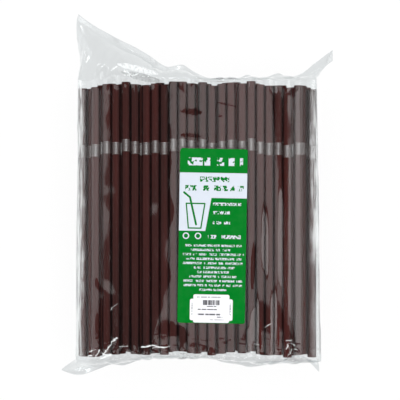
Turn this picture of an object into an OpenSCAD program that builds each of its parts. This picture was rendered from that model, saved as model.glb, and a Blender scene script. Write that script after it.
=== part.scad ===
// Sealed clear film bag packed with bendy drinking straws, lying on its back.
// X runs across the pack, Y runs along the straws towards their mouths, and Z is up.
// The origin is the middle of the footprint, on the surface that the pack lies on.

/* [Straws] */
// Outer diameter of a straw
straw_d = 8; // [6:0.5:10]
// Wall of a straw
straw_wall = 0.2; // [0.15:0.05:0.4]
// Length of a straw
straw_len = 240; // [200:5:260]
// Length of the part between a straw's mouth and its neck
mouth_len = 51; // [30:1:70]
// Length of the corrugated neck
neck_len = 11; // [8:1:16]
// Number of ridges on the neck
neck_ridges = 8; // [5:1:12]
// Depth of the grooves between the ridges
groove_depth = 0.5; // [0.2:0.1:0.8]

/* [Packing] */
// Clearance between straws that touch in the pack
straw_gap = 0.05; // [0.05:0.05:0.3]
// How far a straw may stand out of line with its neighbours
stagger = 2.5; // [0:0.5:5]
// How far the straws at the right edge have slipped down
right_slip = 5; // [0:1:12]
// How far the straws at the left edge have slipped down
left_slip = 4; // [0:1:12]

/* [Film bag] */
// Thickness of the film
film_wall = 0.15; // [0.1:0.05:0.3]
// Clearance between the film and the straws
film_gap = 0.3; // [0.25:0.05:0.6]
// Width of the heat seal across each end
seal_w = 5; // [3:0.5:10]
// How steeply a seal hangs where the film is pulled tight over the straw ends, in degrees
seal_droop = 70; // [0:5:75]
// How far the film stands off the straws at the right of their feet
right_slack = 3.5; // [0:0.5:6]
// How far the film stands off the straws at the left of their feet
left_slack = 1.5; // [0:0.5:6]
// Room between the straw ends and the film
end_room = 1; // [0.5:0.5:4]
// Depth of the gathers beside each seal
gather_depth = 2.2; // [0:0.2:4]

/* [Label and stickers] */
// Width of the label
label_w = 60; // [30:1:100]
// Length of the label
label_len = 155; // [60:5:180]
// Thickness of the label
label_t = 0.2; // [0.1:0.05:0.5]
// How far the label's middle lies right of the pack's
label_x = 13.5; // [-20:0.5:20]
// How far the label's middle lies above the straws' middle, towards their mouths
label_y = -16; // [-20:0.5:0]
// Turn of the label about the upward axis
label_turn = -1; // [-5:0.5:5]
// Width of the lower sticker
lower_sticker_w = 38; // [20:1:50]
// Length of the lower sticker
lower_sticker_len = 19; // [10:1:30]
// Distance of the lower sticker from the foot of the label
lower_sticker_up = 2.5; // [0.5:0.5:20]
// Width of the upper sticker
upper_sticker_w = 32; // [20:1:50]
// Length of the upper sticker
upper_sticker_len = 25; // [10:1:40]
// Distance of the upper sticker from the foot of the label
upper_sticker_up = 0.5; // [0.5:0.5:20]
// Thickness of each sticker
sticker_t = 0.15; // [0.1:0.05:0.3]

/* [Hidden] */
$fn = 40;

straw_colour = [0.27, 0.14, 0.13];
film_colour = [0.86, 0.89, 0.9, 0.35];
label_colour = [0.02, 0.48, 0.16];
sticker_colour = [0.95, 0.95, 0.95];

// The straws of each layer, from the lowest up
layer_counts = [15, 21, 22, 23, 24, 25, 24, 25, 24, 25, 22];
// Extra gap beside each straw of the top layer, repeated along the layer
loose_gaps = [0, 2, 0, 1, 0, 2, 0, 0, 0, 0];
layers = len(layer_counts);
single_layers = 2;
grouped_layers = layers - single_layers;

function two_digits(n) = str(n < 10 ? "0" : "", n);
function layer_node(layer) = str("straw_layer_", two_digits(layer + 1));
function straw_node(layer, place) = str("straw_", two_digits(layer + 1), "_", two_digits(place + 1));

// Where the straws lie. Each straw rests in the groove between two straws of the layer below, so its
// place follows from the gaps along the lowest layer: a line leans right from each of that layer's places
// and another leans left, and the straws lie where these lines cross. The gaps repeat once for each
// layer, which keeps both the lowest and the highest layer level.
straw_pitch = straw_d + straw_gap;
function step_at(i) = straw_pitch + loose_gaps[i % len(loose_gaps)];
function rise_at(i) = sqrt(pow(straw_pitch, 2) - pow(step_at(i) / 2, 2));
// The line, counted from the left, that each layer's straws are centred about
middle_line = 16.5;
function first_line(layer) = floor(middle_line - (layer_counts[layer] - 1 + layer) / 2);
line_count = max([for (layer = [0 : layers - 1]) first_line(layer) + layer_counts[layer] + layer]);
line_x = [for (i = 0, x = 0; i < line_count; x = x + step_at(i), i = i + 1) x];
line_rise = [for (i = 0, z = 0; i < line_count; z = z + rise_at(i), i = i + 1) z];

function loose_x(layer, place) =
    let (i = first_line(layer) + place)
    (line_x[i] + line_x[i + layer]) / 2;
left_x = min([for (layer = [0 : layers - 1]) loose_x(layer, 0)]);
right_x = max([for (layer = [0 : layers - 1]) loose_x(layer, layer_counts[layer] - 1)]);
centre_x = (left_x + right_x) / 2;
half_span = (right_x - left_x) / 2;

lowest_axis = film_wall + film_gap + straw_d / 2;
function straw_x(layer, place) = loose_x(layer, place) - centre_x;
function straw_z(layer, place) =
    let (i = first_line(layer) + place)
    lowest_axis + line_rise[i + layer] - line_rise[i];

// How far the straws at one place across the pack have slipped along their length
function slip_at(x) = (x > 0 ? right_slip : left_slip) * pow(abs(x) / half_span, 3);
// A scatter that looks random but is always the same
function scatter(layer, place) = sin(137.5 * place + 61 * layer) * cos(83 * place + 29 * layer);
function straw_y(layer, place) = -slip_at(straw_x(layer, place)) + stagger * scatter(layer, place);

// The outline of the film around the bundle: the hull of the outermost straws, as points in the XZ plane
// that run anticlockwise from the right
outline_r = straw_d / 2 + film_gap + film_wall;
edge_straws = [
    for (layer = [0 : layers - 1], place = [0, layer_counts[layer] - 1])
        [straw_x(layer, place), straw_z(layer, place)]
];
function unit_at(angle) = [cos(angle), sin(angle)];
function farthest(angle) =
    let (reach = [for (c = edge_straws) c * unit_at(angle)])
    edge_straws[search(max(reach), reach)[0]];
hull_step = 3;
hull_angles = [for (angle = [-180 : hull_step : 360]) angle];
hull_points = [for (angle = hull_angles) farthest(angle) + outline_r * unit_at(angle)];

// Distance along the outline, with more of it given to the corners so that they get more points
corner_weight = 0.35;
function leg(points, i) = i + 1 < len(points) ? norm(points[i + 1] - points[i]) : 0;
function paths(points) = [for (i = 0, s = 0; i < len(points); s = s + leg(points, i), i = i + 1) s];
hull_path = paths(hull_points);
hull_measure = [for (i = [0 : len(hull_points) - 1]) hull_path[i] + corner_weight * (hull_angles[i] + 180)];

mid_z = (straw_z(0, 0) + straw_z(layers - 1, 0)) / 2;
function crossing(from_angle, to_angle) =
    lookup(mid_z, [
        for (i = [0 : len(hull_points) - 1])
            if (hull_angles[i] >= from_angle && hull_angles[i] <= to_angle)
                [hull_points[i].y, hull_measure[i]]
    ]);
right_fold = crossing(-60, 60);
left_fold = crossing(120, 240);
measure_by_angle = [for (i = [0 : len(hull_points) - 1]) [hull_angles[i], hull_measure[i]]];
right_fold_again = right_fold + lookup(360, measure_by_angle) - lookup(0, measure_by_angle);

// The tube of film around the bundle has as many columns of points on its front as on its back. Column 0 is
// the fold at the right, and the columns run over the front to the fold at the left and back underneath.
ply_columns = 44;
columns = 2 * ply_columns;
x_by_measure = [for (i = [0 : len(hull_points) - 1]) [hull_measure[i], hull_points[i].x]];
z_by_measure = [for (i = [0 : len(hull_points) - 1]) [hull_measure[i], hull_points[i].y]];
function column_measure(column) =
    column <= ply_columns
    ? right_fold + (left_fold - right_fold) * column / ply_columns
    : left_fold + (right_fold_again - left_fold) * (column - ply_columns) / ply_columns;
tube_section = [
    for (column = [0 : columns - 1])
        [lookup(column_measure(column), x_by_measure), lookup(column_measure(column), z_by_measure)]
];

// How far across the film each column lies, from 0 at the right fold to 1 at the left fold
front_path = paths([for (column = [0 : ply_columns]) tube_section[column]]);
back_path = paths([for (column = [0 : ply_columns]) tube_section[(columns - column) % columns]]);
function across(column) =
    let (k = min(column, columns - column))
    (front_path[k] / front_path[ply_columns] + back_path[k] / back_path[ply_columns]) / 2;

// Points along the inner edge of each heat seal, from its right ear to its left ear. Each one gives how
// far across the pack it lies as a share of half its width, how far beyond the straw ends, and how far
// above the pack's middle height.
mouth_seal = [
    [1.16, 25.5, 4], [1.06, 18, 3], [0.97, 10.5, 2], [0.89, 5.9, 0], [0.78, 4, -3], [0.7, 6.5, -1],
    [0.6, 3.7, 1], [0.5, 3, 2], [0.43, 5, 3], [0.36, 3, 2], [0.24, 2.8, 1], [0.14, 2.8, 0],
    [0.06, 3.8, 0], [-0.04, 8, 1], [-0.12, 12.5, 2], [-0.19, 12, 3], [-0.25, 10.8, 4], [-0.32, 13.5, 4],
    [-0.4, 19.5, 3], [-0.53, 28, 2], [-0.65, 34.5, 0], [-0.85, 46.5, 1], [-1.02, 58.5, 4]
];
foot_seal = [
    [1.06, 10.5, -12], [0.97, 4, -12], [0.9, 4.2, -11], [0.82, 4.8, -10], [0.74, 7, -9], [0.65, 8, -7],
    [0.46, 11, -7], [0.37, 9.5, -6], [0.22, 7.5, -4], [0.13, 5.3, -3], [-0.13, 3.8, -2], [-0.28, 4.5, -4],
    [-0.42, 4.4, -6], [-0.52, 6.4, -8], [-0.64, 9.5, -9], [-0.75, 8.6, -11], [-0.86, 11.5, -14],
    [-0.97, 14.5, -16], [-1.08, 17, -17], [-1.19, 15.5, -18]
];
// The film leaves the straws' ends at these places along Y
mouth_end = straw_len / 2 + stagger + end_room;
function foot_end(x) = -straw_len / 2 - stagger - end_room - slip_at(sign(x) * min(abs(x), half_span));
half_w = half_span + outline_r;
function mouth_place(p) = [p[0] * half_w, mouth_end + p[1], mid_z + p[2]];
function foot_place(p) = [p[0] * half_w, foot_end(p[0] * half_w) - p[1], mid_z + p[2]];

// A smooth curve through some points, as a list of points
curve_steps = 6;
function smooth(points) =
    let (last = len(points) - 1)
    concat([
        for (i = [0 : last - 1], k = [0 : curve_steps - 1])
            let (
                t = k / curve_steps,
                a = points[max(i - 1, 0)], b = points[i], c = points[i + 1], d = points[min(i + 2, last)]
            )
            0.5 * (
                2 * b + (c - a) * t + (2 * a - 5 * b + 4 * c - d) * t * t + (3 * b - a - 3 * c + d) * t * t * t
            )
    ], [points[last]]);
// The point that lies a given share of the way along a curve
function along(curve, share) =
    let (path = paths(curve), s = share * path[len(path) - 1])
    [for (axis = [0 : 2]) lookup(s, [for (i = [0 : len(curve) - 1]) [path[i], curve[i][axis]]])];

mouth_curve = smooth([for (p = mouth_seal) mouth_place(p)]);
foot_curve = smooth([for (p = foot_seal) foot_place(p)]);
mouth_seam = [for (column = [0 : columns - 1]) along(mouth_curve, across(column))];
foot_seam = [for (column = [0 : columns - 1]) along(foot_curve, across(column))];

// Front columns lie above the seam and back columns below it, by the film's wall and a hair's breadth
hair = 0.1;
ply_lift = film_wall + hair;
function side_of(column) = column % ply_columns == 0 ? 0 : (column < ply_columns ? 1 : -1);

// A seal hangs where it is close to the straw ends, and lies flat in the ears
flat_beyond = 20;
function beyond(p) = p.y > 0 ? p.y - mouth_end : foot_end(p.x) - p.y;
function droop_at(p) = seal_droop * max(0, 1 - max(0, beyond(p)) / flat_beyond);
function outward_at(p) = [0, sign(p.y) * cos(droop_at(p)), -sin(droop_at(p))];
function upward_at(p) = [0, sign(p.y) * sin(droop_at(p)), cos(droop_at(p))];

// How far out a point at the side of the tube moves, from none at the mouths (0) to all at the feet (1)
slack_power = 6;
function slack_at(x, place) = (x > 0 ? right_slack : -left_slack) * pow(abs(x) / half_w, slack_power) * place;

// Gathers: folds of film that fan out from each seal and die away along the tube and beside its folds
wide_gathers = 9.5;
fine_gathers = 17;
fine_share = 0.4;
back_shift = 50;
fold_fade = 0.12;
gather_reach = 24;
function gather(column, share) =
    let (
        turn = 360 * across(column),
        shift = side_of(column) < 0 ? back_shift : 0,
        wide = sin(wide_gathers * turn + shift),
        fine = sin(fine_gathers * turn + 2 * shift),
        wave = (1 - fine_share) * wide + fine_share * fine,
        fade = min(1, min(across(column), 1 - across(column)) / fold_fade)
    )
    gather_depth * share * fade * abs(wave);

// One ring of the closed end, from the seam at step 0 to the tube at the last step. Each column is a
// curve that leaves the tube steeply and meets the seam flat.
end_steps = 6;
near_seam = 0.75;
near_tube = 0.9;
// The shares of a gather's height that go outwards along the straws and up or down from the seam
gather_out = 0.6;
gather_up = 0.8;
function end_point(column, step, seam, end_y, out) =
    let (
        t = step / end_steps,
        corner = tube_section[column],
        a = [corner.x + slack_at(corner.x, out < 0 ? 1 : 0), end_y, corner.y],
        b = seam[column],
        c = [
            (a.x + b.x) / 2,
            b.y * near_seam + a.y * (1 - near_seam),
            a.z * near_tube + b.z * (1 - near_tube)
        ],
        p = a * t * t + 2 * c * t * (1 - t) + b * (1 - t) * (1 - t),
        lift = gather(column, min(1, 2 * t) * (sin(180 * t) + t) / 2)
    )
    p + [0, gather_out * out * lift, gather_up * side_of(column) * lift]
        + side_of(column) * ply_lift * (1 - t * t) * upward_at(b);

// The tube has rings where its gathers die away, and one across its middle
ring_places = [0, 0.3, 0.65, 1];
half_tube_steps = len(ring_places);
tube_steps = 2 * half_tube_steps;
// One ring of the tube, from the mouth end at step 0 to the foot end at the last step
function tube_point(column, step) =
    let (
        corner = tube_section[column],
        from_end = min(step, tube_steps - step),
        place = from_end < half_tube_steps ? ring_places[from_end] : 1,
        y = from_end == half_tube_steps ? 0 :
            step < half_tube_steps ? mouth_end - place * gather_reach :
            foot_end(corner.x) + place * gather_reach,
        lift = gather(column, pow(1 - place, 2) / 2)
    )
    [
        corner.x + slack_at(corner.x, min(1, (mouth_end - y) / (2 * mouth_end))),
        y,
        corner.y + (side_of(column) > 0 ? lift : 0)
    ];

module straw(x, y, z) {
    ridge_pitch = neck_len / neck_ridges;
    neck_start = straw_len - mouth_len - neck_len;
    groove_share = 0.35;
    ridges = [
        for (ridge = [0 : neck_ridges - 1])
            each [
                [-groove_depth, neck_start + (ridge + groove_share) * ridge_pitch],
                [0, neck_start + (ridge + 1) * ridge_pitch]
            ]
    ];
    side = concat([[0, 0], [0, neck_start]], ridges, [[0, straw_len]]);
    outer_r = straw_d / 2;
    outer = [for (p = side) [outer_r + p.x, p.y]];
    inner = [for (i = [len(side) - 1 : -1 : 0]) [outer_r - straw_wall + side[i].x, side[i].y]];
    color(straw_colour)
        translate([x, y - straw_len / 2, z])
            rotate([-90, 0, 0])
                rotate_extrude()
                    polygon(concat(outer, inner));
}

module placed_straw(layer, place) {
    straw(straw_x(layer, place), straw_y(layer, place), straw_z(layer, place));
}

module straw_layer(layer) {
    for (place = [0 : layer_counts[layer] - 1])
        placed_straw(layer, place);
}

// The outer face of the film, as rings of points from the mouth seal to the foot seal
function seal_edge(seam) = [
    for (column = [0 : columns - 1])
        let (p = seam[column])
        p + seal_w * outward_at(p) + side_of(column) * ply_lift * upward_at(p)
];
film_rings = concat(
    [seal_edge(mouth_seam)],
    [for (step = [0 : end_steps - 1]) [
        for (column = [0 : columns - 1])
            end_point(column, step, mouth_seam, mouth_end, 1)
    ]],
    [for (step = [0 : tube_steps]) [for (column = [0 : columns - 1]) tube_point(column, step)]],
    [for (step = [end_steps - 1 : -1 : 0]) [
        for (column = [0 : columns - 1])
            end_point(column, step, foot_seam, foot_end(tube_section[column].x), -1)
    ]],
    [seal_edge(foot_seam)]
);

// The inner face: the outer one moved in by the film's wall. It stops short of each seal, where the
// plies lie on each other. In the ears it moves straight down or up, and its folds stop short of the outer
// ones.
ear_share = 0.2;
ear_rings = 4;
fold_share = 0.8;
middle = 1 + end_steps + half_tube_steps;
function ear_at(ring, column) =
    let (from_seal = min(ring, len(film_rings) - 1 - ring) - 1, a = across(column))
    from_seal >= end_steps ? 0 :
    max(0, 1 - from_seal / ear_rings) * max(0, 1 - min(a, 1 - a) / ear_share);
function lining_point(ring, column) =
    let (
        p = film_rings[ring][column],
        before = film_rings[ring][(column + columns - 1) % columns],
        after = film_rings[ring][(column + 1) % columns],
        tilted = cross(after - before, film_rings[ring + 1][column] - film_rings[ring - 1][column]),
        n = ring == middle ? [tilted.x, 0, tilted.z] : tilted,
        ear = ear_at(ring, column),
        way = n / norm(n) * (1 - ear) + [0, 0, side_of(column)] * ear
    )
    side_of(column) == 0 && ear > 0
    ? p + ((before + after) / 2 - p) * ear * fold_share
    : p - film_wall * way / norm(way);
first_lining = 2;
last_lining = len(film_rings) - 3;
function lining_ring(ring) = [for (column = [0 : columns - 1]) lining_point(ring, column)];

// A closed solid from rings of points, with each end ring closed flat between its front and its back
module ringed_solid(rings) {
    last = len(rings) - 1;
    function at(ring, column) = ring * columns + column % columns;
    walls = [
        for (ring = [0 : last - 1], column = [0 : columns - 1])
            each [
                [at(ring, column), at(ring + 1, column + 1), at(ring, column + 1)],
                [at(ring, column), at(ring + 1, column), at(ring + 1, column + 1)]
            ]
    ];
    function cap(ring) = [
        for (k = [0 : ply_columns - 1])
            each [
                if (k > 0) [at(ring, k), at(ring, k + 1), at(ring, columns - k)],
                if (k < ply_columns - 1) [at(ring, k + 1), at(ring, columns - k - 1), at(ring, columns - k)]
            ]
    ];
    flipped = [for (f = cap(last)) [f[0], f[2], f[1]]];
    polyhedron([for (ring = rings) each ring], concat(walls, cap(0), flipped));
}

// Each half of the bag is a cup: its outer face as far as the middle of the tube, then its inner face back
module film_bag() {
    mouth_half = concat(
        [for (ring = [0 : middle]) film_rings[ring]],
        [for (ring = [middle : -1 : first_lining]) lining_ring(ring)]
    );
    foot_half = concat(
        [for (ring = [last_lining : -1 : middle]) lining_ring(ring)],
        [for (ring = [middle : len(film_rings) - 1]) film_rings[ring]]
    );
    color(film_colour) {
        ringed_solid(mouth_half);
        ringed_solid(foot_half);
    }
}

// The label lies on the flat front of the film, and the stickers lie on it and on each other
glue_gap = 0.05;
label_corner = 2;
sticker_corner = 1.5;
front_z = straw_z(layers - 1, 0) + outline_r;

module rounded_plate(w, len, t, corner) {
    linear_extrude(t) {
        square([w - 2 * corner, len], center = true);
        square([w, len - 2 * corner], center = true);
        for (x = [-1, 1], y = [-1, 1])
            translate([x * (w / 2 - corner), y * (len / 2 - corner)])
                circle(corner);
    }
}

module on_label(up, lift) {
    translate([label_x, label_y, front_z + lift])
        rotate(label_turn)
            translate([0, up, 0])
                children();
}

module printed_label() {
    color(label_colour)
        on_label(0, glue_gap)
            rounded_plate(label_w, label_len, label_t, label_corner);
}

module lower_sticker() {
    color(sticker_colour)
        on_label((lower_sticker_len - label_len) / 2 + lower_sticker_up, label_t + 2 * glue_gap)
            rounded_plate(lower_sticker_w, lower_sticker_len, sticker_t, sticker_corner);
}

module upper_sticker() {
    color(sticker_colour)
        on_label((upper_sticker_len - label_len) / 2 + upper_sticker_up, label_t + sticker_t + 3 * glue_gap)
            rounded_plate(upper_sticker_w, upper_sticker_len, sticker_t, sticker_corner);
}

film_bag();
printed_label();
lower_sticker();
upper_sticker();
for (layer = [0 : grouped_layers - 1])
    straw_layer(layer);
for (layer = [grouped_layers : layers - 1], place = [0 : layer_counts[layer] - 1])
    placed_straw(layer, place);
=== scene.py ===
# %% [markdown]
# A sealed bag of bendy drinking straws, seen from straight above
#
# The pack is a clear film tube, filled with straws and sealed at both ends, with a printed label
# and two small stickers on its front. The straws, the label and the stickers keep the shapes of
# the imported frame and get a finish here. The film is made here, because its look comes from fine
# undulations that bend the reflections of the studio's lamps.

import math

import bpy
import numpy as np
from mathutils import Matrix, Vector, noise


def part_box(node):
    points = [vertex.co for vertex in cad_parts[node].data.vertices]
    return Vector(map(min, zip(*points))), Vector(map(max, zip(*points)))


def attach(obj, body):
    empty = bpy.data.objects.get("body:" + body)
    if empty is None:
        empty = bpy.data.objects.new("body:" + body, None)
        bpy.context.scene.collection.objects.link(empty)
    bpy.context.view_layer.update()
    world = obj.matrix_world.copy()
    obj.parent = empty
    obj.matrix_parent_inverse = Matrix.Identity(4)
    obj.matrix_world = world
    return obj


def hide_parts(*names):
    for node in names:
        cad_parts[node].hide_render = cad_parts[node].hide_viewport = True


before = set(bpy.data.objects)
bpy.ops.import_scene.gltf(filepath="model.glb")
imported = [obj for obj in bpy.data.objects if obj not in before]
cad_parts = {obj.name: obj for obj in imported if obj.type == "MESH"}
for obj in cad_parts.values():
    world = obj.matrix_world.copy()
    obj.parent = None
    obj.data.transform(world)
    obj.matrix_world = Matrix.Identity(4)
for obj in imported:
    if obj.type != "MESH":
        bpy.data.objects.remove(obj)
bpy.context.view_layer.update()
MM = 0.001
straw_names = sorted(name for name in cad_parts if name.startswith("straw_"))
print("straw nodes:", len(straw_names))

# %% [markdown]
# The camera hangs straight above the pack, as in the picture that the pack was modelled from.
# A long lens from about a metre keeps the straws parallel. The lens and the height follow from
# two facts: the picture is as wide as 357 mm at the top straws, and the pack's sides show only a
# little of their height.

# %% Camera
LENS = 100
SENSOR = 36
FARTHEST_SEEN = 50
FRONT_WIDTH = 356.8
STRAW_TOPS = 73.0
MIDDLE_X, MIDDLE_Y = 2.4, 16.0
camera_height = STRAW_TOPS + FRONT_WIDTH * LENS / SENSOR
camera_data = bpy.data.cameras.new("camera")
camera_data.lens = LENS
camera_data.sensor_width = SENSOR
camera_data.clip_end = FARTHEST_SEEN
camera = bpy.data.objects.new("camera", camera_data)
camera.location = Vector((MIDDLE_X, MIDDLE_Y, camera_height)) * MM
bpy.context.scene.collection.objects.link(camera)
bpy.context.scene.camera = camera
print("camera height in mm:", round(camera_height))

# %% [markdown]
# Shader maths reads best as a formula. Wire wraps one output of a shader node, and each operator
# adds the Math node that does it. Colours go through Mix nodes instead, because a Math node turns
# a colour grey. Every other node comes from one method, which sets the node's own settings first
# and then gives its sockets values or links. A Mix node repeats its sockets for each kind of data,
# so those for colours are found by their numbers.

# %% Wire
MIX_FACTOR, MIX_BELOW, MIX_ABOVE = 0, 6, 7
MIX_RESULT = 2


class Wire:
    """One output of a shader node, to be used in sums and comparisons like a number."""

    def __init__(self, tree, output=None):
        self.tree = tree
        self.output = output

    def node(self, kind, settings=None, sockets=None, take=0):
        """A new node of this kind, as the wire of the output to take."""
        made = self.tree.nodes.new("ShaderNode" + kind)
        for name, value in (settings or {}).items():
            if name == "stops":
                ramp = made.color_ramp.elements
                while len(ramp) < len(value):
                    ramp.new(1)
                for element, (place, level) in zip(ramp, value):
                    element.position = place
                    element.color = (level, level, level, 1)
            elif name == "interpolation" and kind == "ValToRGB":
                made.color_ramp.interpolation = value
            else:
                setattr(made, name, value)
        for name, value in (sockets or {}).items():
            if isinstance(value, Wire):
                self.tree.links.new(value.output, made.inputs[name])
            else:
                made.inputs[name].default_value = value
        return Wire(self.tree, made.outputs[take])

    def math(self, operation, *values):
        return self.node("Math", {"operation": operation}, dict(enumerate(values)))

    def __add__(self, other):
        return self.math("ADD", self, other)

    def __sub__(self, other):
        return self.math("SUBTRACT", self, other)

    def __rsub__(self, other):
        return self.math("SUBTRACT", other, self)

    def __mul__(self, other):
        return self.math("MULTIPLY", self, other)

    def __truediv__(self, other):
        return self.math("DIVIDE", self, other)

    def __pow__(self, other):
        return self.math("POWER", self, other)

    def __gt__(self, other):
        return self.math("GREATER_THAN", self, other)

    def __lt__(self, other):
        return self.math("LESS_THAN", self, other)

    def __abs__(self):
        return self.math("ABSOLUTE", self)

    __radd__ = __add__
    __rmul__ = __mul__

    def clamped(self):
        """This value, held between 0 and 1."""
        return self.node("Clamp", {}, {"Value": self})

    def ramped(self, low, high):
        """0 below low, 1 above high and a smooth step in between."""
        settings = {"interpolation_type": "SMOOTHSTEP"}
        return self.node("MapRange", settings, {"Value": self, "From Min": low, "From Max": high})

    def colour(self, below, above):
        """One colour where this mask is 0 and another where it is 1."""
        sockets = {MIX_FACTOR: self, MIX_BELOW: below, MIX_ABOVE: above}
        return self.node("Mix", {"data_type": "RGBA"}, sockets, take=MIX_RESULT)

    def blended(self, below, above):
        """One shader where this mask is 0 and another where it is 1."""
        return self.node("MixShader", {}, {0: self, 1: below, 2: above})

    def noise(self, place, scale, detail=2.0, rough=0.5):
        """Smooth noise from 0 to 1, for places as a vector."""
        sockets = {"Vector": place, "Scale": scale, "Detail": detail, "Roughness": rough}
        return self.node("TexNoise", {}, sockets)

    def scaled(self, factors):
        """This position, stretched by one factor along each axis."""
        return self.node("VectorMath", {"operation": "MULTIPLY"}, {0: self, 1: factors})


def new_finish(name):
    """A material with nothing in it yet but its output, and a wire to start from."""
    material = bpy.data.materials.new(name)
    material.use_nodes = True
    material.node_tree.nodes.clear()
    return material, Wire(material.node_tree)


def finish_with(start, shader):
    """Makes one shader the finish's outcome."""
    out = start.tree.nodes.new("ShaderNodeOutputMaterial")
    start.tree.links.new(shader.output, out.inputs["Surface"])


def position_mm(start):
    """The place of a point of the piece in millimetres, as a vector and as its three numbers."""
    in_mm = start.node("TexCoord", take="Object").scaled((1 / MM, 1 / MM, 1 / MM))
    return in_mm, [in_mm.node("SeparateXYZ", {}, {"Vector": in_mm}, take=axis) for axis in "XYZ"]


print("wire ready")

# %% [markdown]
# The floor is plain and pale and runs up into a wall all round, as a studio's cove does, so that
# low views have the same white background. A light path tells what kind of ray meets the floor:
# rays from the camera, and rays that the film reflects or lets through, see it as nearly white.
# The rest of its finish takes light and keeps the shadow.

# %% Floor and wall
COVE_RADIUS = 3.2
COVE_CORNER = 0.8
WALL_TOP = 2.6
COVE_STEPS = 10
SPOKES = 64
FLOOR_COLOUR = (0.9, 0.9, 0.9, 1)
WHITE_SHARE = 0.94


def cove_profile():
    """The floor and the wall as distances from the middle and heights, in metres."""
    profile = [(COVE_RADIUS - COVE_CORNER, 0.0)]
    for step in range(1, COVE_STEPS + 1):
        angle = math.pi / 2 * step / COVE_STEPS
        out = COVE_RADIUS - COVE_CORNER + COVE_CORNER * math.sin(angle)
        profile.append((out, COVE_CORNER * (1 - math.cos(angle))))
    return profile + [(COVE_RADIUS, WALL_TOP)]


def make_mesh(name, points, faces):
    """A smoothly shaded piece from its points, in metres, and its faces."""
    mesh = bpy.data.meshes.new(name)
    mesh.from_pydata([tuple(p) for p in points], [], faces)
    mesh.polygons.foreach_set("use_smooth", [True] * len(mesh.polygons))
    mesh.update()
    piece = bpy.data.objects.new(name, mesh)
    bpy.context.scene.collection.objects.link(piece)
    return piece


profile = cove_profile()
cove_points = []
for out, height in profile:
    for spoke in range(SPOKES):
        angle = 2 * math.pi * spoke / SPOKES
        cove_points.append((out * math.cos(angle), out * math.sin(angle), height))
cove_faces = [list(range(SPOKES))]
for ring in range(len(profile) - 1):
    for spoke in range(SPOKES):
        a, b = ring * SPOKES + spoke, ring * SPOKES + (spoke + 1) % SPOKES
        cove_faces.append((a, a + SPOKES, b + SPOKES, b))
floor = make_mesh("floor", cove_points, cove_faces)

floor_finish, start = new_finish("pale_floor")
from_camera = start.node("LightPath", take="Is Camera Ray")
reflected = start.node("LightPath", take="Is Glossy Ray")
let_through = start.node("LightPath", take="Is Transmission Ray")
seen_directly = (from_camera + reflected + let_through).clamped()
lit = start.node("BsdfDiffuse", {}, {"Color": FLOOR_COLOUR})
white = start.node("Emission", {}, {"Color": (1, 1, 1, 1), "Strength": 1.0})
finish_with(start, (seen_directly * WHITE_SHARE).blended(lit, white))
floor.data.materials.append(floor_finish)
print("floor and wall faces:", len(cove_faces))

# %% [markdown]
# Large softboxes light the pack. Three of them hang overhead, with gaps between them, because the
# film mirrors them as pale veils and mirrors the gaps as clear dark bands. Two more stand beyond
# the straws' ends and two at the sides. They light the label evenly without lying in the film's
# mirror, and they catch the ridges of the necks. A narrow bright strip before each end makes the
# small white glints in the gathers. A brightness here is that of a lamp's face. Its power is then
# that brightness times its area and pi.

# %% Softboxes
OVERHEAD = 1.6


def softbox(name, middle, size, brightness, aim=(0, 0, 0)):
    """A rectangular lamp that faces the point it is aimed at, in metres."""
    lamp = bpy.data.lights.new(name, "AREA")
    lamp.shape = "RECTANGLE"
    lamp.size, lamp.size_y = size
    lamp.energy = brightness * math.pi * size[0] * size[1]
    box = bpy.data.objects.new(name, lamp)
    box.location = middle
    box.rotation_euler = (Vector(middle) - Vector(aim)).to_track_quat("Z", "Y").to_euler()
    box.visible_camera = False
    bpy.context.scene.collection.objects.link(box)
    return box


def overhead_box(name, x_range, y_range, brightness):
    """A softbox that faces straight down and covers a rectangle, in metres."""
    middle = (sum(x_range) / 2, sum(y_range) / 2, OVERHEAD)
    size = (x_range[1] - x_range[0], y_range[1] - y_range[0])
    return softbox(name, middle, size, brightness, aim=(middle[0], middle[1], 0))


print("overhead boxes hang at", OVERHEAD, "m")

# %% [markdown]
# The places of the overhead boxes' edges decide where the bands lie on the film. Flat film shows
# a lamp's edge about two fifths of the way out from the camera's axis to the edge itself. The
# right box is the brightest, because the veil at the right is. The world adds a faint even light.

# %% Lamps and world
PANEL = 1.85
RIGHT_PANEL = 3.8
END_PANEL = 1.2
SIDE_PANEL = 1.8
STRIP = 9
overhead_box("softbox_middle", (-0.077, 0.184), (-0.302, 0.9), PANEL)
overhead_box("softbox_left", (-1.1, -0.202), (-0.8, 0.9), PANEL)
overhead_box("softbox_right", (0.202, 0.85), (-0.8, 0.9), RIGHT_PANEL)

LOW_BOXES = 0.85
END_DISTANCE, SIDE_DISTANCE = 1.36, 1.5
END_BOX, SIDE_BOX = (1.4, 0.7), (0.9, 1.6)
softbox("softbox_mouths", (0, END_DISTANCE, LOW_BOXES), END_BOX, END_PANEL)
softbox("softbox_feet", (0, -END_DISTANCE, LOW_BOXES), END_BOX, END_PANEL)
softbox("softbox_left_side", (-SIDE_DISTANCE, 0, LOW_BOXES), SIDE_BOX, SIDE_PANEL)
softbox("softbox_right_side", (SIDE_DISTANCE, 0, LOW_BOXES), SIDE_BOX, SIDE_PANEL)
softbox("strip_mouths", (-0.2, 1.15, 0.75), (0.6, 0.2), STRIP)
softbox("strip_feet", (0.1, -1.15, 0.9), (0.9, 0.1), STRIP)

WORLD_COLOUR, WORLD_LEVEL = (0.95, 0.97, 1, 1), 0.1
world = bpy.data.worlds.new("studio")
world.use_nodes = True
background = world.node_tree.nodes["Background"]
background.inputs["Color"].default_value = WORLD_COLOUR
background.inputs["Strength"].default_value = WORLD_LEVEL
bpy.context.scene.world = world
bpy.context.scene.view_settings.view_transform = "Standard"

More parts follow.
